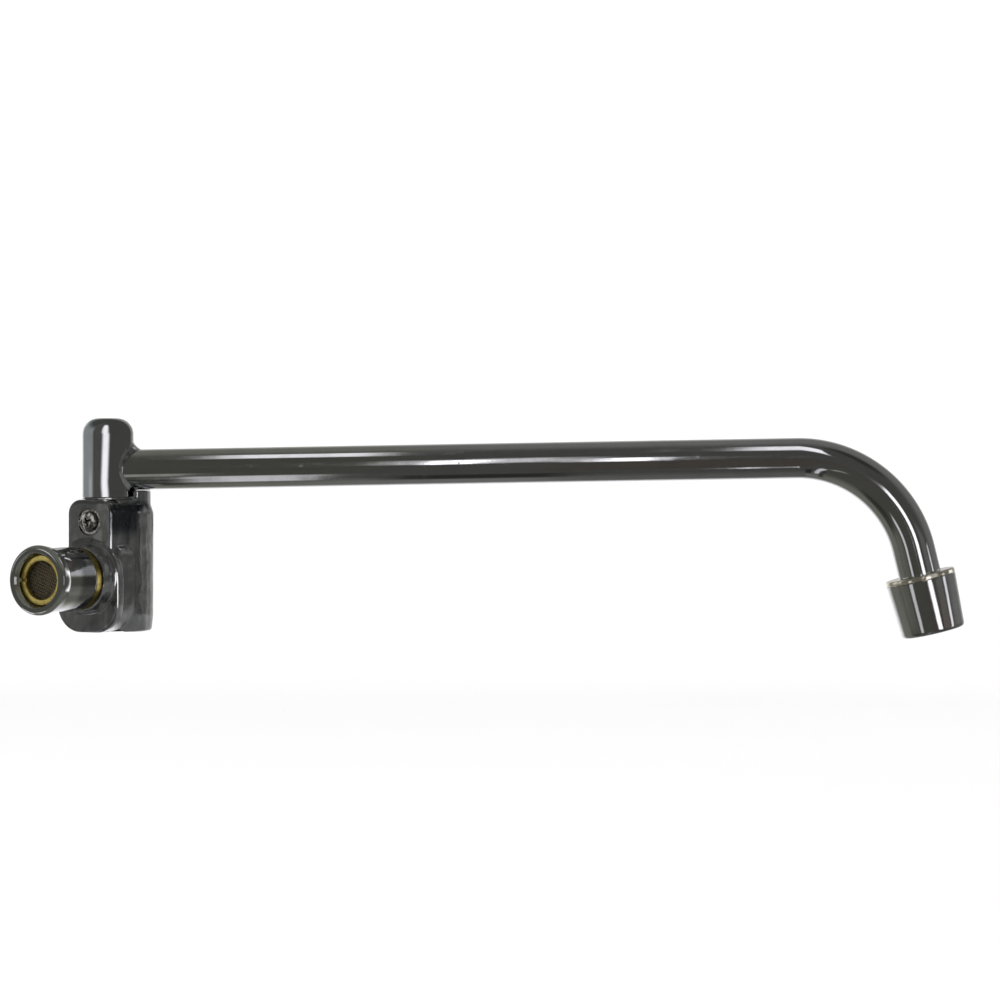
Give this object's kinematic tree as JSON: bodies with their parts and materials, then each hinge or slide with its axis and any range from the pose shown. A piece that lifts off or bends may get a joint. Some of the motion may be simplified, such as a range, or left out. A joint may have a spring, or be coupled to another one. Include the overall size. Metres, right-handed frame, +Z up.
{
  "type": "swing-spout wall faucet",
  "caption": "Wall faucet with a long swinging spout and no handle: swinging the spout along the wall shuts the valve in its body. Chrome-plated brass.",
  "frame": {"origin": "centre of the inlet's end face, where the faucet meets the wall union", "axes": "+Z up along the swivel axis, +Y out of the inlet towards the wall, +X along the wall, away from the side that the spout leaves to"},
  "size_m": [0.3368, 0.2398, 0.0947],
  "materials": {
    "chrome_plate": "bright chrome plate on brass",
    "bare_brass": "turned, unplated",
    "stainless_steel": "bright stainless steel",
    "black_rubber": "moulded, matt",
    "white_plastic": "moulded, satin"
  },
  "bodies": {
    "base": {"valve_body": "chrome_plate", "bottom_plug": "bare_brass", "bottom_plug_seal": "black_rubber", "stop_screw_washer": "stainless_steel", "stop_screw": "stainless_steel", "swivel_washer": "stainless_steel", "inlet_coupling": "chrome_plate", "lock_ring": "bare_brass", "stem_guide": "bare_brass", "valve_seat": "stainless_steel", "spring_rest": "bare_brass", "poppet_spring": "stainless_steel", "spacer_sleeve": "bare_brass", "strainer_screen": "stainless_steel", "strainer_gasket": "black_rubber", "strainer_ring": "bare_brass"},
    "valve": {"push_stem": "stainless_steel", "valve_seal": "black_rubber", "poppet": "bare_brass", "poppet_nut": "bare_brass"},
    "spout": {"spout_spindle": "bare_brass", "shutoff_cam": "stainless_steel", "cam_clip": "stainless_steel", "upper_swivel_seal": "black_rubber", "lower_swivel_seal": "black_rubber", "spout_post": "chrome_plate", "spout_tube": "chrome_plate", "braze_fillet": "bare_brass", "nozzle_adapter": "bare_brass", "nozzle_cap": "chrome_plate", "nozzle_washer": "black_rubber", "aerator_housing": "white_plastic", "flow_straightener": "white_plastic", "lower_aerator_screen": "stainless_steel", "upper_aerator_screen": "stainless_steel"}
  },
  "joints": [
    {"name": "spout_swing", "type": "hinge", "parent": "base", "child": "spout", "pos_m": [0, -0.049, 0], "axis": [0, 0, 1], "range_deg": [-30, 75]},
    {"name": "valve_lift", "type": "slide", "parent": "base", "child": "valve", "axis": [0, 1, 0], "range_m": [-0.0011, 0.0027], "deforming": ["poppet_spring"]}
  ],
  "couplings": [
    {"joint": "valve_lift", "follows": "spout_swing", "m_per_rad": 0.002}
  ]
}
